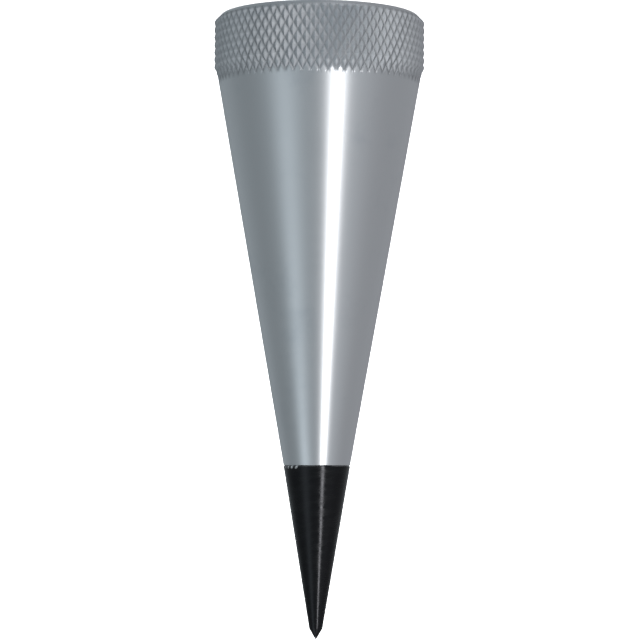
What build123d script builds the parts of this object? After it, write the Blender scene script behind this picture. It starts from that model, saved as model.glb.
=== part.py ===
from build123d import *
import os
from math import ceil, radians, tan

# Conical centring punch: a turned aluminium cone with a knurled flat head, and a screw-in steel point.
# It stands on its head. The origin is the centre of the head's flat face, and +Z runs to the tip.
# Every size is in millimetres.

# Outside of the cone body
overall_length = 150.0
head_height = 12.8
head_diameter = 51.0        # over the crests of the knurl
head_chamfer = 1.6
knurl_rise = 0.6            # how far the crests stand above the cone's large end
knurl_overrun = 1.7         # how far the knurl runs on over the start of the cone
crest_setback = 0.5         # full crests stop this far short of the cone
seam_diameter = 16.0        # where the aluminium stops and the steel starts
nose_edge_break = 0.2

# Outside of the steel point
point_length = 41.6         # from the seam to the tip
point_edge_break = 0.25
point_end_diameter = 3.2    # where the slim taper turns into the striking end
point_end_angle = 60.0
tip_flat_diameter = 0.2

# Screwed joint between them, a metric coarse thread
thread_diameter = 8.0
thread_pitch = 1.25
crest_clearance = 0.06      # radial, at the crests and at the roots of both threads
flank_clearance = 0.05      # axial, shared by the two flanks
spigot_length = 16.0
spigot_chamfer = 0.9
bore_run_past = 6.0         # drilled depth left below the spigot
thread_run_past = 3.0       # tapped depth left below the spigot
mouth_reach = 0.1           # how far the bevel at the mouth stands outside the thread's roots
drill_point_angle = 118.0

# Rubber ring that keeps the point from shaking loose
ring_section = 1.25
ring_groove_depth = 0.08    # below the roots of the spigot's thread
ring_clearance = 0.05       # on every side of the ring

# Sizes that follow from those above
seam_z = overall_length - point_length
cone_radius = head_diameter / 2 - knurl_rise
seam_radius = seam_diameter / 2
cone_slope = (cone_radius - seam_radius) / (seam_z - head_height)

thread_height = thread_pitch * 3 ** 0.5 / 2
pitch_radius = thread_diameter / 2 - 3 / 8 * thread_height
spigot_crest_radius = thread_diameter / 2 - crest_clearance
spigot_root_radius = thread_diameter / 2 - 17 / 24 * thread_height
bore_crest_radius = thread_diameter / 2 - 5 / 8 * thread_height + crest_clearance / 2
bore_root_radius = thread_diameter / 2 + crest_clearance
ridge_sink = 0.12           # how deep a thread ridge is buried in what it grows from
overshoot = 1.0             # how far a cut reaches past what it cuts

ring_groove_radius = spigot_root_radius - ring_groove_depth
ring_mid_radius = ring_groove_radius + ring_clearance + ring_section / 2
ring_seat_radius = ring_groove_radius + ring_section + 2 * ring_clearance
ring_seat_depth = ring_section + 2 * ring_clearance


def turned(*profile):
    """Solid turned about Z, from its half outline as (radius, height) points."""
    outline = Polyline(*[(radius, 0, height) for radius, height in profile], close=True)
    return revolve(make_face(outline), axis=Axis.Z)


def thread_width(radius):
    """Axial width of the 60 degree thread form at a radius."""
    return thread_pitch / 2 - 2 * (radius - pitch_radius) * tan(radians(30))


def thread_ridge(inner_radius, outer_radius, slack, low, high):
    """Right-hand helical ridge that covers low to high, in step with the seam for both threads."""
    start = seam_z - thread_pitch * ceil((seam_z - low) / thread_pitch + 0.5)
    turns = ceil((high - start) / thread_pitch + 0.5)
    corners = [(inner_radius, -1), (outer_radius, -1), (outer_radius, 1), (inner_radius, 1)]
    section = Polyline(
        *[(radius, 0, start + side * (thread_width(radius) + slack) / 2) for radius, side in corners],
        close=True,
    )
    helix = Edge.make_helix(
        thread_pitch, turns * thread_pitch, (inner_radius + outer_radius) / 2, center=(0, 0, start)
    )
    return sweep(make_face(section), path=helix, is_frenet=True)


def tapped_hole():
    """What is cut out of the nose in turn: the drilled hole with its thread, then the ring's seat."""
    drill_bottom = seam_z - spigot_length - bore_run_past
    drill_tip = drill_bottom - bore_crest_radius / tan(radians(drill_point_angle / 2))
    seat_floor = seam_z - ring_seat_depth
    mouth_radius = bore_root_radius + mouth_reach
    top = seam_z + overshoot
    drilled = turned(
        (0, drill_tip), (bore_crest_radius, drill_bottom), (bore_crest_radius, top), (0, top)
    )
    thread = thread_ridge(
        bore_crest_radius - ridge_sink,
        bore_root_radius,
        flank_clearance,
        seam_z - spigot_length - thread_run_past,
        seat_floor,
    )
    bevel_bottom = seat_floor - (mouth_radius - bore_crest_radius)
    seat = turned(
        (0, bevel_bottom),
        (bore_crest_radius, bevel_bottom),
        (mouth_radius, seat_floor),
        (ring_seat_radius, seat_floor),
        (ring_seat_radius, top),
        (0, top),
    )
    return drilled + thread, seat


def cone_body():
    """Knurled head and long cone in one piece. The knurled band is a cylinder over its crests."""
    head_radius = head_diameter / 2
    overrun_z = head_height + knurl_overrun
    blank = turned(
        (0, 0),
        (head_radius - head_chamfer, 0),
        (head_radius, head_chamfer),
        (head_radius, head_height - crest_setback),
        (cone_radius - cone_slope * knurl_overrun, overrun_z),
        (seam_radius + cone_slope * nose_edge_break, seam_z - nose_edge_break),
        (seam_radius - nose_edge_break, seam_z),
        (0, seam_z),
    )
    tapped, seat = tapped_hole()
    return blank - tapped - seat


def spigot():
    """Threaded spigot under the point's shoulder, with a plain groove where the ring sits.

    A rod with the thread on it is trimmed to an envelope that stands clear of the thread's crests,
    and whose 45 degree cones are the thread's run-outs.
    """
    low = seam_z - spigot_length
    groove_z = seam_z - ring_seat_depth - ring_clearance
    top = seam_z + overshoot
    rod = turned(
        (0, low - overshoot), (spigot_root_radius, low - overshoot), (spigot_root_radius, top), (0, top)
    )
    ridge = thread_ridge(
        spigot_root_radius - ridge_sink, spigot_crest_radius, -flank_clearance, low, groove_z
    )
    clear = spigot_crest_radius + overshoot
    envelope = turned(
        (0, low),
        (spigot_crest_radius - spigot_chamfer, low),
        (clear, low + spigot_chamfer + overshoot),
        (clear, groove_z - (clear - ring_groove_radius)),
        (ring_groove_radius, groove_z),
        (ring_groove_radius, top),
        (0, top),
    )
    return (rod + ridge) & envelope


def steel_point():
    """Hardened point: a slim taper that ends in a blunter tip, on its threaded spigot."""
    end_radius = point_end_diameter / 2
    tip_radius = tip_flat_diameter / 2
    end_z = overall_length - (end_radius - tip_radius) / tan(radians(point_end_angle / 2))
    taper = turned(
        (0, seam_z),
        (seam_radius - point_edge_break, seam_z),
        (seam_radius, seam_z + point_edge_break),
        (end_radius, end_z),
        (tip_radius, overall_length),
        (0, overall_length),
    )
    return taper + spigot()


def lock_ring():
    """Rubber ring in its seat, between the spigot's groove and the mouth of the hole."""
    place = Pos(0, 0, seam_z - ring_clearance - ring_section / 2)
    return place * Torus(ring_mid_radius, ring_section / 2)


parts = {"cone_body": cone_body(), "lock_ring": lock_ring(), "steel_point": steel_point()}

os.makedirs("parts", exist_ok=True)
for name, solid in parts.items():
    export_step(solid, f"parts/{name}.step")
    print(name, round(solid.volume, 1), "mm3", "valid" if solid.is_valid else "not valid")
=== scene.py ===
from math import ceil, cos, pi, radians, sin, tan

import bpy
from mathutils import Matrix, Vector


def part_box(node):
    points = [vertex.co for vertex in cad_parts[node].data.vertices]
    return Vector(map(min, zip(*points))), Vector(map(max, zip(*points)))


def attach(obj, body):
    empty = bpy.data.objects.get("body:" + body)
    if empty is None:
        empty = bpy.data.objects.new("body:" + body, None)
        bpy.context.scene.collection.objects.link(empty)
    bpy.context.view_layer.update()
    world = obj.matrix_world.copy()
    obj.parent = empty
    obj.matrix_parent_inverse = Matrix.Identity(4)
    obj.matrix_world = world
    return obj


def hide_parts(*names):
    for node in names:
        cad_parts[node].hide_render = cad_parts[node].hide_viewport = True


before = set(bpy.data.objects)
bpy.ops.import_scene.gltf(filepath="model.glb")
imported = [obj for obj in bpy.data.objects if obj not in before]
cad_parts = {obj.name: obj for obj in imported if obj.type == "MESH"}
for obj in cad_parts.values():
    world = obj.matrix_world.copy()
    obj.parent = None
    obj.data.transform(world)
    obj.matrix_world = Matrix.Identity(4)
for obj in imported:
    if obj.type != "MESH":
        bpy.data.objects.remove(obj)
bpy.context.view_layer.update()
print("frame loaded with", ", ".join(sorted(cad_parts)))

mm = 0.001
weldDistance = 0.0015 * mm
crispAngle = radians(28)        # edges sharper than this are drawn hard
grainTurn = 0.25                # anisotropic rotation for metal that was turned round Z
scene = bpy.context.scene

# The three CAD pieces say where everything lies
coneLow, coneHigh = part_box("cone_body")
pointLow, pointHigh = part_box("steel_point")
ringLow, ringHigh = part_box("lock_ring")
seamZ = coneHigh.z
headRadius = coneHigh.x
seamRadius = pointHigh.x
tipZ = pointHigh.z
spigotZ = pointLow.z


# Node tools

def feed(tree, socket, value):
    # a socket takes another node's result or a plain value
    if isinstance(value, Num):
        value = value.socket
    if isinstance(value, bpy.types.NodeSocket):
        tree.links.new(value, socket)
    else:
        socket.default_value = value


def add(tree, kind, inputs=None, **settings):
    # one new node, with its settings and its inputs by name or number
    node = tree.nodes.new(kind)
    for name, value in settings.items():
        setattr(node, name, value)
    for name, value in (inputs or {}).items():
        feed(tree, node.inputs[name], value)
    return node


class Num:
    # a number inside a node tree, so that node maths reads like ordinary maths
    def __init__(self, tree, socket):
        self.tree = tree
        self.socket = socket

    def math(self, operation, *others):
        node = self.tree.nodes.new("ShaderNodeMath")
        node.operation = operation
        for socket, value in zip(node.inputs, (self, *others)):
            feed(self.tree, socket, value)
        return Num(self.tree, node.outputs[0])

    def __add__(self, other):
        return self.math("ADD", other)

    def __sub__(self, other):
        return self.math("SUBTRACT", other)

    def __mul__(self, other):
        return self.math("MULTIPLY", other)

    def __truediv__(self, other):
        return self.math("DIVIDE", other)

    def __neg__(self):
        return self.math("MULTIPLY", -1.0)

    def lowest(self, other):
        return self.math("MINIMUM", other)

    def highest(self, other):
        return self.math("MAXIMUM", other)

    def wave(self):
        # triangle wave: 0 at each whole number, 1 halfway between
        return self.math("PINGPONG", 0.5) * 2.0

    def ramp(self, start, end):
        # 0 up to start, 1 from end on, smooth between them
        node = self.tree.nodes.new("ShaderNodeMapRange")
        node.interpolation_type = "SMOOTHSTEP"
        feed(self.tree, node.inputs["Value"], self)
        node.inputs["From Min"].default_value = min(start, end)
        node.inputs["From Max"].default_value = max(start, end)
        node.inputs["To Min"].default_value = 0.0 if start < end else 1.0
        node.inputs["To Max"].default_value = 1.0 if start < end else 0.0
        return Num(self.tree, node.outputs["Result"])


def newTree(name, sockets):
    # a geometry tree with named inputs, and a dictionary of those inputs as numbers or sockets
    tree = bpy.data.node_groups.new(name, "GeometryNodeTree")
    tree.is_modifier = True
    tree.interface.new_socket("Geometry", in_out="OUTPUT", socket_type="NodeSocketGeometry")
    kinds = {float: "NodeSocketFloat", int: "NodeSocketInt", bool: "NodeSocketBool"}
    for label, kind in sockets.items():
        tree.interface.new_socket(label, in_out="INPUT", socket_type=kinds.get(kind, kind))
    group = tree.nodes.new("NodeGroupInput")
    given = {}
    for label, kind in sockets.items():
        socket = group.outputs[label]
        given[label] = Num(tree, socket) if kind in kinds else socket
    return tree, given


def closeTree(tree, geometry, material):
    # every tree ends with plain geometry that carries its finish
    real = add(tree, "GeometryNodeRealizeInstances", {"Geometry": geometry})
    painted = add(tree, "GeometryNodeSetMaterial", {"Geometry": real.outputs[0], "Material": material})
    out = tree.nodes.new("NodeGroupOutput")
    tree.links.new(painted.outputs[0], out.inputs[0])


def drawnOutline(name, outline):
    # half outline as a poly curve in the XZ plane, one control point for each ring of the turned piece
    curve = bpy.data.curves.new(name, "CURVE")
    curve.dimensions = "3D"
    spline = curve.splines.new("POLY")
    spline.points.add(len(outline) - 1)
    for point, (radius, height) in zip(spline.points, outline):
        point.co = (radius, 0.0, height, 1.0)
    drawn = bpy.data.objects.new(name, curve)
    scene.collection.objects.link(drawn)
    return drawn


def grown(name, tree, values):
    # runs a tree on an empty mesh and keeps the result as a plain mesh object
    carrier = bpy.data.objects.new(name + "Carrier", bpy.data.meshes.new(name + "Carrier"))
    scene.collection.objects.link(carrier)
    modifier = carrier.modifiers.new(tree.name, "NODES")
    modifier.node_group = tree
    identifiers = {
        item.name: item.identifier
        for item in tree.interface.items_tree
        if item.item_type == "SOCKET" and item.in_out == "INPUT"
    }
    for label, value in values.items():
        modifier[identifiers[label]] = value
    bpy.context.view_layer.update()
    evaluated = carrier.evaluated_get(bpy.context.evaluated_depsgraph_get())
    mesh = bpy.data.meshes.new_from_object(evaluated)
    mesh.name = name
    piece = bpy.data.objects.new(name, mesh)
    scene.collection.objects.link(piece)
    bpy.data.objects.remove(carrier)
    for value in values.values():
        if isinstance(value, bpy.types.Object):
            bpy.data.objects.remove(value)
    print(name, "has", len(mesh.vertices), "points and", len(mesh.polygons), "faces")
    return piece


# Turned surfaces and threads, as parts of the trees

def ringGrid(tree, columns, rows):
    # a flat grid that becomes a tube: its columns run round the axis and its rows along the outline
    grid = add(tree, "GeometryNodeMeshGrid", {"Vertices X": columns + 1.0, "Vertices Y": rows})
    index = Num(tree, add(tree, "GeometryNodeInputIndex").outputs[0])
    column = (index / rows).math("FLOOR")
    row = index - column * rows
    return grid.outputs["Mesh"], column / columns, row


def placed(tree, grid, turn, radius, height):
    # every grid point goes to its radius and height, turn being its share of a full circle
    angle = turn * (2 * pi)
    spot = add(tree, "ShaderNodeCombineXYZ", {
        "X": radius * angle.math("COSINE"), "Y": radius * angle.math("SINE"), "Z": height,
    })
    moved = add(tree, "GeometryNodeSetPosition", {"Geometry": grid, "Position": spot.outputs[0]})
    return moved.outputs[0]


def outlineRings(tree, profile, columns):
    # the grid of a turned surface, with the radius and height that its outline gives each row
    drawn = add(tree, "GeometryNodeObjectInfo", {"Object": profile}).outputs["Geometry"]
    size = add(tree, "GeometryNodeAttributeDomainSize", {"Geometry": drawn}, component="CURVE")
    rows = Num(tree, size.outputs["Point Count"])
    grid, turn, row = ringGrid(tree, columns, rows)
    spot = add(tree, "GeometryNodeInputPosition").outputs[0]
    sample = add(tree, "GeometryNodeSampleIndex", data_type="FLOAT_VECTOR", domain="POINT")
    feed(tree, sample.inputs["Geometry"], drawn)
    feed(tree, sample.inputs["Value"], spot)
    feed(tree, sample.inputs["Index"], row)
    parts = add(tree, "ShaderNodeSeparateXYZ", {0: sample.outputs[0]})
    return grid, turn, Num(tree, parts.outputs["X"]), Num(tree, parts.outputs["Z"])


def turnedSurface(tree, profile, columns):
    grid, turn, radius, height = outlineRings(tree, profile, columns)
    return placed(tree, grid, turn, radius, height)


def threadSurface(tree, given, columns, inside):
    # a 60 degree thread whose rows follow the helix, run out at both ends by 45 degree cones
    pitch, low, high = given["Pitch"], given["Thread Low"], given["Thread High"]
    stepsPerTurn = 16
    halfFlank = radians(30)
    start = low - pitch
    rows = ((high - start) / pitch * stepsPerTurn).math("CEIL") + 1.0
    grid, turn, row = ringGrid(tree, columns, rows)
    along = start + row * pitch / stepsPerTurn
    height = (along + turn * pitch).highest(low).lowest(high)
    fromRidge = ((along - given["Thread Phase"]) / pitch).math("PINGPONG", 0.5) * pitch
    slack = given["Flank Slack"] * (0.5 if inside else -0.5)
    flank = given["Pitch Radius"] + (pitch / 4.0 + slack - fromRidge) / tan(halfFlank)
    radius = flank.highest(given["Root Radius"]).lowest(given["Crest Radius"])
    lowEnd = given["Low Radius"] + height - low
    if inside:
        radius = radius.highest(given["High Radius"] - high + height).lowest(lowEnd)
    else:
        radius = radius.lowest(given["High Radius"] + high - height).lowest(lowEnd)
    surface = placed(tree, grid, turn, radius, height)
    if inside:
        surface = add(tree, "GeometryNodeFlipFaces", {0: surface}).outputs[0]
    return surface


threadSockets = {
    "Pitch": float, "Pitch Radius": float, "Root Radius": float, "Crest Radius": float,
    "Flank Slack": float, "Thread Low": float, "Thread High": float, "Low Radius": float,
    "High Radius": float, "Thread Phase": float,
}


def joined(tree, surfaces):
    # welds the surfaces into one closed skin and marks the edges that stay crisp
    join = tree.nodes.new("GeometryNodeJoinGeometry")
    for surface in surfaces:
        tree.links.new(surface, join.inputs[0])
    welded = add(tree, "GeometryNodeMergeByDistance", {
        "Geometry": join.outputs[0], "Distance": weldDistance,
    })
    soft = add(tree, "GeometryNodeSetShadeSmooth", {"Geometry": welded.outputs[0], "Shade Smooth": True})
    angle = Num(tree, add(tree, "GeometryNodeInputMeshEdgeAngle").outputs["Unsigned Angle"])
    crisp = add(tree, "GeometryNodeSetShadeSmooth", domain="EDGE")
    feed(tree, crisp.inputs["Geometry"], soft.outputs[0])
    feed(tree, crisp.inputs["Selection"], angle.math("GREATER_THAN", crispAngle))
    crisp.inputs["Shade Smooth"].default_value = False
    return crisp.outputs[0]


# Materials

def newMaterial(name):
    material = bpy.data.materials.new(name)
    material.use_nodes = True
    tree = material.node_tree
    return material, tree, tree.nodes["Principled BSDF"]


def noise(tree, vector, scale, detail=2.0, roughness=0.5, seed=0.0):
    node = add(tree, "ShaderNodeTexNoise", {
        "Vector": vector, "Scale": scale, "Detail": detail, "Roughness": roughness, "W": seed,
    }, noise_dimensions="4D")
    return Num(tree, node.outputs["Fac"])


def aroundAxis(tree):
    # the piece's own coordinates: height, distance from the axis, and the direction round it
    spot = add(tree, "ShaderNodeTexCoord").outputs["Object"]
    parts = add(tree, "ShaderNodeSeparateXYZ", {0: spot})
    x, y, z = (Num(tree, parts.outputs[axis]) for axis in "XYZ")
    radius = (x * x + y * y).math("SQRT").highest(0.01 * mm)
    return {"spot": spot, "height": z, "radius": radius, "east": x / radius, "north": y / radius}


def turningLines(tree, place, perMetre, wander, seed):
    # lines that run round the piece, each fading in and out as it goes round
    vector = add(tree, "ShaderNodeCombineXYZ", {
        "X": place["radius"] * perMetre + place["east"] * wander,
        "Y": place["north"] * wander,
        "Z": place["height"] * perMetre,
    })
    return noise(tree, vector.outputs[0], 1.0, detail=2.0, seed=seed)


def mixed(tree, share, first, second):
    node = add(tree, "ShaderNodeMix", data_type="RGBA")
    feed(tree, node.inputs["Factor"], share)
    feed(tree, node.inputs[6], first)
    feed(tree, node.inputs[7], second)
    return node.outputs[2]


def raised(tree, shader, height, depth):
    # bump of that depth in metres
    node = add(tree, "ShaderNodeBump", {"Strength": 1.0, "Distance": depth, "Height": height})
    feed(tree, shader.inputs["Normal"], node.outputs[0])


aluminium = {
    "colour": (0.80, 0.81, 0.83, 1.0),
    "smudge": (0.72, 0.74, 0.77, 1.0),
    # painted shade: the dark colour laid into the knurl's grooves, where shade falls
    "grooveShade": (0.30, 0.31, 0.31, 1.0),
    "roughness": 0.39,
    "knurlRoughness": 0.45,     # added in the knurl
    "anisotropy": 0.75,
    "finePerMetre": 3600.0,     # turning lines
    "coarsePerMetre": 800.0,
    "fineUneven": 0.10,         # how much the lines and smudges change the roughness
    "smudgeUneven": 0.12,
    "grooveShadeShare": 0.25,         # how much painted shade darkens the grooves of the knurl
    "lineDepth": 0.012 * mm,
}


def turnedAluminium():
    material, tree, shader = newMaterial("turnedAluminium")
    place = aroundAxis(tree)
    fine = turningLines(tree, place, aluminium["finePerMetre"], 1.6, 3.0)
    coarse = turningLines(tree, place, aluminium["coarsePerMetre"], 0.8, 5.0)
    smudges = noise(tree, place["spot"], 60.0, detail=4.0, roughness=0.6, seed=1.0)
    crest = Num(tree, add(tree, "ShaderNodeAttribute", attribute_name="crest").outputs["Fac"])
    inKnurl = Num(tree, add(tree, "ShaderNodeAttribute", attribute_name="inKnurl").outputs["Fac"])
    clean = mixed(tree, smudges.ramp(0.52, 0.75), aluminium["colour"], aluminium["smudge"])
    # painted shade: the knurl's grooves are darkened towards their bottoms
    grooves = crest.ramp(0.40, 0.02) * inKnurl * aluminium["grooveShadeShare"]
    feed(tree, shader.inputs["Base Color"], mixed(tree, grooves, clean, aluminium["grooveShade"]))
    shader.inputs["Metallic"].default_value = 1.0
    uneven = (smudges - 0.5) * aluminium["smudgeUneven"] + (fine - 0.5) * aluminium["fineUneven"]
    roughness = uneven + inKnurl * aluminium["knurlRoughness"] + aluminium["roughness"]
    feed(tree, shader.inputs["Roughness"], roughness)
    shader.inputs["Anisotropic"].default_value = aluminium["anisotropy"]
    shader.inputs["Anisotropic Rotation"].default_value = grainTurn
    lines = (fine * 0.5 + coarse * 0.5) * (-inKnurl + 1.0)
    raised(tree, shader, lines, aluminium["lineDepth"])
    return material


blackSteel = {
    "colour": (0.029, 0.029, 0.031, 1.0),
    "ringed": (0.033, 0.033, 0.035, 1.0),
    "worn": (0.60, 0.60, 0.60, 1.0),
    "roughness": 0.25,
    "anisotropy": 0.6,
    "finePerMetre": 3000.0,     # turning lines
    "coarsePerMetre": 850.0,
    "fineUneven": 0.20,         # how much lines and patches change the roughness
    "coarseUneven": 0.45,
    "patchUneven": 0.12,
    "lineDepth": 0.03 * mm,
    "shoulderWear": 0.5,
    "shoulderWearHeight": 0.35 * mm,
    "tipWearHeight": 0.9 * mm,
}


def blackOxideSteel():
    material, tree, shader = newMaterial("blackOxideSteel")
    place = aroundAxis(tree)
    fine = turningLines(tree, place, blackSteel["finePerMetre"], 1.4, 8.0)
    coarse = turningLines(tree, place, blackSteel["coarsePerMetre"], 2.2, 9.0)
    patches = noise(tree, place["spot"], 240.0, detail=3.0, seed=2.0)
    nick = Num(tree, add(tree, "ShaderNodeAttribute", attribute_name="nick").outputs["Fac"])
    shoulder = place["height"].ramp(seamZ + blackSteel["shoulderWearHeight"], seamZ + 0.05 * mm)
    nearTip = place["height"].ramp(tipZ - blackSteel["tipWearHeight"], tipZ)
    edges = (shoulder * blackSteel["shoulderWear"]).highest(nearTip)
    wear = (edges * patches.ramp(0.40, 0.62)).highest(nick.ramp(0.15, 0.6))
    finish = mixed(tree, coarse.ramp(0.42, 0.66), blackSteel["colour"], blackSteel["ringed"])
    feed(tree, shader.inputs["Base Color"], mixed(tree, wear, finish, blackSteel["worn"]))
    shader.inputs["Metallic"].default_value = 1.0
    uneven = (fine - 0.5) * blackSteel["fineUneven"] + (coarse - 0.5) * blackSteel["coarseUneven"]
    uneven = uneven + (patches - 0.5) * blackSteel["patchUneven"]
    feed(tree, shader.inputs["Roughness"], uneven + blackSteel["roughness"])
    shader.inputs["Anisotropic"].default_value = blackSteel["anisotropy"]
    shader.inputs["Anisotropic Rotation"].default_value = grainTurn
    raised(tree, shader, fine * 0.35 + coarse * 0.65, blackSteel["lineDepth"])
    return material


rubber = {
    "colour": (0.012, 0.012, 0.012, 1.0),
    "bloom": (0.035, 0.035, 0.034, 1.0),
    "roughness": 0.5,
    "uneven": 0.2,
    "grainDepth": 0.004 * mm,
}


def blackRubber():
    material, tree, shader = newMaterial("blackRubber")
    place = aroundAxis(tree)
    grain = noise(tree, place["spot"], 3500.0, detail=2.0, seed=4.0)
    bloom = noise(tree, place["spot"], 500.0, detail=2.0, seed=6.0)
    colour = mixed(tree, bloom.ramp(0.5, 0.8), rubber["colour"], rubber["bloom"])
    feed(tree, shader.inputs["Base Color"], colour)
    feed(tree, shader.inputs["Roughness"], (grain - 0.5) * rubber["uneven"] + rubber["roughness"])
    raised(tree, shader, grain, rubber["grainDepth"])
    return material


# The screwed joint, shared by the cone's tapped hole and the point's spigot

thread = {
    "diameter": 8.0 * mm,
    "pitch": 1.25 * mm,
    "crestClearance": 0.06 * mm,
    "flankClearance": 0.05 * mm,
    "spigotChamfer": 0.9 * mm,
    "boreRunPast": 6.0 * mm,
    "threadRunPast": 3.0 * mm,
    "grooveDepth": 0.08 * mm,
    "ringClearance": 0.05 * mm,
    "mouthReach": 0.1 * mm,      # how far the bevel at the mouth stands outside the thread
}
threadHeight = thread["pitch"] * 3 ** 0.5 / 2
pitchRadius = thread["diameter"] / 2 - 3 / 8 * threadHeight
spigotRoot = thread["diameter"] / 2 - 17 / 24 * threadHeight
spigotCrest = thread["diameter"] / 2 - thread["crestClearance"]
boreRoot = thread["diameter"] / 2 + thread["crestClearance"]
mouthRadius = boreRoot + thread["mouthReach"]
boreCrest = thread["diameter"] / 2 - 5 / 8 * threadHeight + thread["crestClearance"] / 2
grooveRadius = spigotRoot - thread["grooveDepth"]
seatRadius = ringHigh.x + thread["ringClearance"]
seatZ = ringLow.z - thread["ringClearance"]

# Cone body: knurled head and long cone, turned from one bar

cone = {
    "teeth": 76,
    "columnsPerTooth": 12,
    "rowPitch": 3.62 * mm,      # from one diamond to the next along the axis
    "knurlDepth": 0.62 * mm,
    "knurlUneven": 0.06,        # how much the crests differ, as a share of the depth
    "ridgeBlend": 0.24,         # how softly the ridges between two grooves meet
    "crestEase": 0.45,          # 0 leaves flat-sided pyramids, 1 makes them round-topped
    "headChamfer": 1.6 * mm,
    "headHeight": 12.8 * mm,
    "knurlRise": 0.6 * mm,      # crests above the cone's large end
    "knurlOverrun": 1.7 * mm,
    "knurlFade": 2.5 * mm,      # how far the last grooves run on into the cone
    "crestSetback": 0.5 * mm,
    "noseRound": 0.2 * mm,
    "coneRings": 12,
    "boreColumns": 96,
    "drillPointAngle": 118.0,
}


def coneSlope():
    return (headRadius - cone["knurlRise"] - seamRadius) / (seamZ - cone["headHeight"])


def coneOutline():
    # flat face, chamfer, knurled band with a ring on every step of its lattice, cone and rounded nose
    step = cone["rowPitch"] / cone["columnsPerTooth"]
    chamfer = cone["headChamfer"]
    crestEnd = cone["headHeight"] - cone["crestSetback"]
    overrunEnd = cone["headHeight"] + cone["knurlOverrun"]
    latticeEnd = overrunEnd + cone["knurlFade"]
    slope = coneSlope()
    overrunRadius = headRadius - cone["knurlRise"] - slope * cone["knurlOverrun"]

    def blankRadius(height):
        if height < chamfer:
            return headRadius - chamfer + height
        if height < crestEnd:
            return headRadius
        if height < overrunEnd:
            return headRadius + (overrunRadius - headRadius) * (height - crestEnd) / (overrunEnd - crestEnd)
        return overrunRadius - slope * (height - overrunEnd)

    outline = [(0.0, 0.0), (blankRadius(0.0), 0.0)]
    first = -int(chamfer / step)
    last = ceil((latticeEnd - chamfer) / step)
    for number in range(first, last + 1):
        height = chamfer + number * step
        outline.append((blankRadius(height), height))
    bottom = outline[-1][1]
    turn = cone["noseRound"]
    top = seamZ - turn
    for number in range(1, cone["coneRings"] + 1):
        height = bottom + (top - bottom) * number / cone["coneRings"]
        outline.append((blankRadius(height), height))
    noseRadius = blankRadius(top) - turn
    noseSteps = 3
    for number in range(1, noseSteps + 1):
        angle = radians(90) * number / noseSteps
        outline.append((noseRadius + turn * cos(angle), top + turn * sin(angle)))
    return outline


def coneTree():
    tree, given = newTree("turnedKnurledCone", {
        "Outline": "NodeSocketObject", "Seat": "NodeSocketObject", "Drilled": "NodeSocketObject",
        "Teeth": int, "Columns per Tooth": int, "Row Pitch": float, "Lattice Start": float,
        "Fade Start": float, "Fade End": float, "Head Radius": float, "Knurl Depth": float,
        "Unevenness": float, "Crest Ease": float,
        "Bore Columns": int, "Nose Radius": float, "Seat Radius": float, "Nose Height": float,
        "Material": "NodeSocketMaterial", **threadSockets,
    })
    # outer skin: the knurl's two sets of grooves leave pyramids, and the blank cuts their tops
    columns = given["Teeth"] * given["Columns per Tooth"]
    grid, turn, blank, height = outlineRings(tree, given["Outline"], columns)
    across = turn * given["Teeth"]
    along = (height - given["Lattice Start"]) / given["Row Pitch"]
    leftHand, rightHand = (across + along).wave(), (across - along).wave()
    pyramid = leftHand.math("SMOOTH_MIN", rightHand, cone["ridgeBlend"])
    eased = pyramid.ramp(0.0, 1.0)
    pyramid = pyramid + (eased - pyramid) * given["Crest Ease"]
    flat = placed(tree, grid, turn, blank, height)
    spot = add(tree, "GeometryNodeInputPosition").outputs[0]
    uneven = Num(tree, add(tree, "ShaderNodeTexNoise", {
        "Vector": spot, "Scale": 420.0, "Detail": 1.0, "W": 7.0,
    }, noise_dimensions="4D").outputs[0])
    depth = given["Knurl Depth"] * ((uneven - 0.5) * given["Unevenness"] * 2.0 + 1.0)
    # towards the cone the grooves grow narrow and shallow, and plain lands widen between them
    reach = (given["Fade End"] - height) / (given["Fade End"] - given["Fade Start"])
    reach = reach.lowest(1.0).highest(0.0)
    base = blank + (given["Head Radius"] - blank) * height.math("LESS_THAN", given["Fade Start"])
    radius = blank.lowest(base - (reach - pyramid).highest(0.0) * depth)
    onSide = (base - blank).math("LESS_THAN", given["Knurl Depth"])
    inKnurl = ((reach - pyramid) * 3.0 + 1.6).lowest(1.0).highest(0.0) * reach.ramp(0.0, 0.3) * onSide
    stored = flat
    for label, value in (("crest", pyramid), ("inKnurl", inKnurl)):
        stored = add(tree, "GeometryNodeStoreNamedAttribute", {
            "Geometry": stored, "Name": label, "Value": value,
        }, data_type="FLOAT", domain="POINT").outputs[0]
    outer = placed(tree, stored, turn, radius, height)
    outer = add(tree, "GeometryNodeTriangulate", {"Mesh": outer, "Selection": inKnurl}).outputs[0]
    # flat of the nose, between the last outer ring and the mouth of the seat
    rims = tree.nodes.new("GeometryNodeJoinGeometry")
    for label, count in (("Nose Radius", columns), ("Seat Radius", given["Bore Columns"])):
        rim = add(tree, "GeometryNodeCurvePrimitiveCircle", {"Resolution": count, "Radius": given[label]})
        tree.links.new(rim.outputs[0], rims.inputs[0])
    filled = add(tree, "GeometryNodeFillCurve", {"Curve": rims.outputs[0]})
    up = add(tree, "ShaderNodeCombineXYZ", {"Z": given["Nose Height"]})
    nose = add(tree, "GeometryNodeTransform", {"Geometry": filled.outputs[0], "Translation": up.outputs[0]})
    # ring seat, thread and drilled end of the hole
    bore = given["Bore Columns"]
    surfaces = [
        outer,
        nose.outputs[0],
        turnedSurface(tree, given["Seat"], bore),
        threadSurface(tree, given, bore, inside=True),
        turnedSurface(tree, given["Drilled"], bore),
    ]
    closeTree(tree, joined(tree, surfaces), given["Material"])
    return tree


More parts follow.
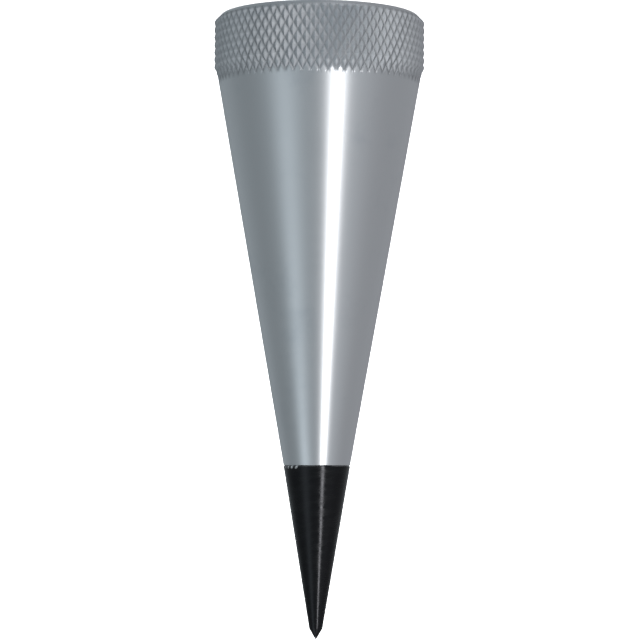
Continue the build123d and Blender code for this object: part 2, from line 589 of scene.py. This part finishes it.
def makeCone():
    outline = coneOutline()
    threadLow = spigotZ - thread["threadRunPast"]
    drillLow = spigotZ - thread["boreRunPast"]
    drillTip = drillLow - boreCrest / tan(radians(cone["drillPointAngle"] / 2))
    seat = [(seatRadius, seamZ), (seatRadius, seatZ), (mouthRadius, seatZ)]
    drilled = [(boreCrest, threadLow), (boreCrest, drillLow), (0.0, drillTip)]
    return grown("coneBody", coneTree(), {
        "Outline": drawnOutline("coneOutline", outline),
        "Seat": drawnOutline("seatOutline", seat),
        "Drilled": drawnOutline("drilledOutline", drilled),
        "Teeth": cone["teeth"],
        "Columns per Tooth": cone["columnsPerTooth"],
        "Row Pitch": cone["rowPitch"],
        "Lattice Start": cone["headChamfer"],
        "Fade Start": cone["headHeight"] - cone["crestSetback"],
        "Fade End": cone["headHeight"] + cone["knurlOverrun"] + cone["knurlFade"],
        "Head Radius": headRadius,
        "Knurl Depth": cone["knurlDepth"],
        "Unevenness": cone["knurlUneven"],
        "Crest Ease": cone["crestEase"],
        "Bore Columns": cone["boreColumns"],
        "Nose Radius": outline[-1][0],
        "Seat Radius": seatRadius,
        "Nose Height": seamZ,
        "Material": turnedAluminium(),
        "Pitch": thread["pitch"],
        "Pitch Radius": pitchRadius,
        "Root Radius": boreCrest,
        "Crest Radius": boreRoot,
        "Flank Slack": thread["flankClearance"],
        "Thread Low": threadLow,
        "Thread High": seatZ,
        "Low Radius": boreCrest,
        "High Radius": mouthRadius,
        "Thread Phase": seamZ,
    })


# Steel point: slim taper on its threaded spigot

point = {
    "columns": 240,
    "shoulderBreak": 0.25 * mm,
    "endDiameter": 3.2 * mm,
    "endAngle": 60.0,
    "tipRound": 0.12 * mm,
    "taperRings": 60,
    "shoulderRings": 12,        # finer rings beside the shoulder, for the grip nicks
    "nickDepth": 0.30 * mm,     # left by the pliers that last turned the point
    "nickHeight": 1.10 * mm,
    "nickCount": 4,
    "nickFrom": 0.835,          # where the nicks begin and end, as shares of a full circle
    "nickTo": 0.955,
    "nickSlant": 0.45,
}


def pointOutline():
    # groove, shoulder, taper and the blunter end, which is rounded over at the very tip
    shoulder = point["shoulderBreak"]
    half = radians(point["endAngle"] / 2)
    endRadius = point["endDiameter"] / 2
    ballZ = tipZ - point["tipRound"]
    touch = point["tipRound"] * cos(half)
    touchZ = ballZ + point["tipRound"] * sin(half)
    endZ = touchZ - (endRadius - touch) / tan(half)
    grooveZ = seatZ - thread["ringClearance"]
    outline = [(grooveRadius, grooveZ), (grooveRadius, seamZ), (seamRadius - shoulder, seamZ)]
    low = seamZ + shoulder
    shares = [number / point["taperRings"] for number in range(2, point["taperRings"] + 1)]
    fine = [shares[0] * number / point["shoulderRings"] for number in range(point["shoulderRings"])]
    for share in fine + shares:
        outline.append((seamRadius + (endRadius - seamRadius) * share, low + (endZ - low) * share))
    tipSteps = 4
    for number in range(tipSteps + 1):
        angle = half + (radians(90) - half) * number / tipSteps
        outline.append((point["tipRound"] * cos(angle), ballZ + point["tipRound"] * sin(angle)))
    return outline


def pointTree():
    tree, given = newTree("threadedPoint", {
        "Outline": "NodeSocketObject", "Spigot End": "NodeSocketObject", "Columns": int,
        "Nick From": float, "Nick To": float, "Nick Count": float, "Nick Depth": float,
        "Nick Height": float, "Shoulder Height": float, "Material": "NodeSocketMaterial", **threadSockets,
    })
    # slanting nicks in the shoulder's edge, deepest at the seam
    grid, turn, radius, height = outlineRings(tree, given["Outline"], given["Columns"])
    above = (height - given["Shoulder Height"]) / given["Nick Height"]
    along = (turn - given["Nick From"]) / (given["Nick To"] - given["Nick From"])
    inside = along.ramp(0.0, 0.02) * along.ramp(1.0, 0.98) * above.ramp(-0.3, -0.1)
    slanted = along * given["Nick Count"] - above * point["nickSlant"]
    nick = slanted.wave().ramp(0.25, 0.85) * above.ramp(1.0, 0.35) * inside
    grid = add(tree, "GeometryNodeStoreNamedAttribute", {
        "Geometry": grid, "Name": "nick", "Value": nick,
    }, data_type="FLOAT", domain="POINT").outputs[0]
    surfaces = [
        placed(tree, grid, turn, radius - nick * given["Nick Depth"], height),
        threadSurface(tree, given, given["Columns"], inside=False),
        turnedSurface(tree, given["Spigot End"], given["Columns"]),
    ]
    closeTree(tree, joined(tree, surfaces), given["Material"])
    return tree


def makePoint():
    endRadius = spigotCrest - thread["spigotChamfer"]
    return grown("steelPoint", pointTree(), {
        "Outline": drawnOutline("pointOutline", pointOutline()),
        "Spigot End": drawnOutline("spigotOutline", [(0.0, spigotZ), (endRadius, spigotZ)]),
        "Columns": point["columns"],
        "Nick From": point["nickFrom"],
        "Nick To": point["nickTo"],
        "Nick Count": float(point["nickCount"]),
        "Nick Depth": point["nickDepth"],
        "Nick Height": point["nickHeight"],
        "Shoulder Height": seamZ,
        "Material": blackOxideSteel(),
        "Pitch": thread["pitch"],
        "Pitch Radius": pitchRadius,
        "Root Radius": spigotRoot,
        "Crest Radius": spigotCrest,
        "Flank Slack": thread["flankClearance"],
        "Thread Low": spigotZ,
        "Thread High": seatZ - thread["ringClearance"],
        "Low Radius": endRadius,
        "High Radius": grooveRadius,
        "Thread Phase": seamZ,
    })


# Rubber ring with the thin moulding line round its outside and inside

lockRing = {"columns": 96, "steps": 24, "mouldLine": 0.02 * mm}


def makeRing():
    section = (ringHigh.z - ringLow.z) / 2
    middle = ringHigh.x - section
    centre = (ringHigh.z + ringLow.z) / 2
    outline = []
    for number in range(lockRing["steps"] + 1):
        angle = 2 * pi * number / lockRing["steps"]
        onLine = number % (lockRing["steps"] // 2) == 0
        reach = section - (0.0 if onLine else lockRing["mouldLine"])
        outline.append((middle + reach * cos(angle), centre + reach * sin(angle)))
    tree, given = newTree("mouldedRing", {
        "Outline": "NodeSocketObject", "Columns": int, "Material": "NodeSocketMaterial",
    })
    surface = turnedSurface(tree, given["Outline"], given["Columns"])
    closeTree(tree, joined(tree, [surface]), given["Material"])
    return grown("lockRing", tree, {
        "Outline": drawnOutline("ringOutline", outline),
        "Columns": lockRing["columns"],
        "Material": blackRubber(),
    })


print("making the cone body")
coneBody = makeCone()
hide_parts("cone_body")
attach(coneBody, "body")

print("making the steel point")
steelPoint = makePoint()
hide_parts("steel_point")
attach(steelPoint, "point")

print("making the rubber ring")
rubberRing = makeRing()
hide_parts("lock_ring")
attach(rubberRing, "ring")


# Studio: round pale floor that curves up into a wall, soft light and the camera

studio = {
    "floorRadius": 1.1,
    "bend": 0.4,
    "wallHeight": 1.7,
    "colour": (0.84, 0.84, 0.84, 1.0),
    "paperGlow": 1.05,          # lights the paper evenly, so that it shows no hard shadow
    "air": 0.33,                # how bright the room is that the metal mirrors
    "leftTint": (0.88, 0.99, 1.05, 1.0),
    "rightTint": (0.95, 0.99, 1.04, 1.0),
    "lightWall": (45.0, 15.0, 1.4),     # direction and width in degrees, and strength
    "darkWall": (98.0, 30.0, -0.07),
    "faintWall": (-47.0, 26.0, 0.12),
}
camera = {
    "distance": 0.61,
    "lens": 142.7,
    "aside": -0.55 * mm,
    "tip": 3.28,                # degrees down from level
    "roll": 180.35,             # upside down, so that the point hangs down
}
keyStrip = {"azimuth": -22.0, "elevation": 22.0, "distance": 1.0, "size": (0.15, 0.80), "power": 3.1}
overhead = {"azimuth": 0.0, "elevation": 88.0, "distance": 1.3, "size": (1.6, 1.6), "power": 8.0}
lightAim = (0.0, 0.0, 0.075)


def makeFloor():
    # floor, bend and wall, turned about the object
    outline = [(0.0, 0.0), (studio["floorRadius"], 0.0)]
    for number in range(1, 13):
        angle = radians(90) * number / 12
        outline.append((
            studio["floorRadius"] + studio["bend"] * sin(angle),
            studio["bend"] - studio["bend"] * cos(angle),
        ))
    outline.append((studio["floorRadius"] + studio["bend"], studio["wallHeight"]))
    material, tree, shader = newMaterial("palePaper")
    spot = add(tree, "ShaderNodeTexCoord").outputs["Object"]
    grain = noise(tree, spot, 900.0, detail=3.0, seed=11.0)
    shader.inputs["Base Color"].default_value = studio["colour"]
    shader.inputs["Roughness"].default_value = 0.8
    shader.inputs["Specular IOR Level"].default_value = 0.2
    shader.inputs["Emission Color"].default_value = studio["colour"]
    shader.inputs["Emission Strength"].default_value = studio["paperGlow"]
    raised(tree, shader, grain, 0.02 * mm)
    tree, given = newTree("paperCove", {
        "Outline": "NodeSocketObject", "Columns": int, "Material": "NodeSocketMaterial",
    })
    surface = turnedSurface(tree, given["Outline"], given["Columns"])
    upward = add(tree, "GeometryNodeFlipFaces", {0: joined(tree, [surface])})
    closeTree(tree, upward.outputs[0], given["Material"])
    floor = grown("paperFloor", tree, {
        "Outline": drawnOutline("floorOutline", outline), "Columns": 128, "Material": material,
    })
    floor.visible_glossy = False    # the metal mirrors the room instead, so that its edges stay dark


def roomPatch(azimuth, wall):
    # soft patch in the room, strongest in its own direction
    centre, width, strength = wall
    away = (azimuth - radians(centre)) / radians(width)
    return (-(away * away)).math("EXPONENT") * strength


def makeRoom():
    # the room that the metal mirrors: mid grey, with a light wall that brightens upwards on one side
    world = bpy.data.worlds.new("room")
    world.use_nodes = True
    tree = world.node_tree
    way = add(tree, "ShaderNodeTexCoord").outputs["Generated"]
    parts = add(tree, "ShaderNodeSeparateXYZ", {0: way})
    x, y, z = (Num(tree, parts.outputs[axis]) for axis in "XYZ")
    azimuth = x.math("ARCTAN2", -y)
    light = roomPatch(azimuth, studio["lightWall"]) * z.highest(0.0) + studio["air"]
    light = light + roomPatch(azimuth, studio["darkWall"]) + roomPatch(azimuth, studio["faintWall"])
    tint = mixed(tree, azimuth.ramp(radians(-90), radians(60)), studio["rightTint"], studio["leftTint"])
    background = tree.nodes["Background"]
    feed(tree, background.inputs["Color"], tint)
    feed(tree, background.inputs["Strength"], light)
    scene.world = world


def softLight(name, panel):
    # azimuth 0 is the camera's side
    lamp = bpy.data.lights.new(name, "AREA")
    lamp.shape = "RECTANGLE"
    lamp.size, lamp.size_y = panel["size"]
    lamp.energy = panel["power"]
    lit = bpy.data.objects.new(name, lamp)
    side, rise = radians(panel["azimuth"]), radians(panel["elevation"])
    away = Vector((sin(side) * cos(rise), -cos(side) * cos(rise), sin(rise)))
    lit.location = Vector(lightAim) + away * panel["distance"]
    lit.rotation_euler = away.to_track_quat("Z", "Y").to_euler()
    lit.visible_camera = False
    scene.collection.objects.link(lit)
    return lit


def makeLights():
    softLight("keyStrip", keyStrip)
    above = softLight("overhead", overhead)
    above.visible_glossy = False


def makeCamera():
    # at the seam's height, tipped down to the whole tool, and turned over so that the point hangs down
    lens = bpy.data.cameras.new("mainCamera")
    lens.lens = camera["lens"]
    lens.clip_start = 0.01
    viewer = bpy.data.objects.new("mainCamera", lens)
    eye = Matrix.Translation((camera["aside"], -camera["distance"], seamZ))
    down = Matrix.Rotation(radians(90 - camera["tip"]), 4, "X")
    viewer.matrix_world = eye @ down @ Matrix.Rotation(radians(camera["roll"]), 4, "Z")
    scene.collection.objects.link(viewer)
    scene.camera = viewer


print("setting up the studio")
makeFloor()
makeRoom()
makeLights()
makeCamera()
scene.view_settings.view_transform = "Standard"
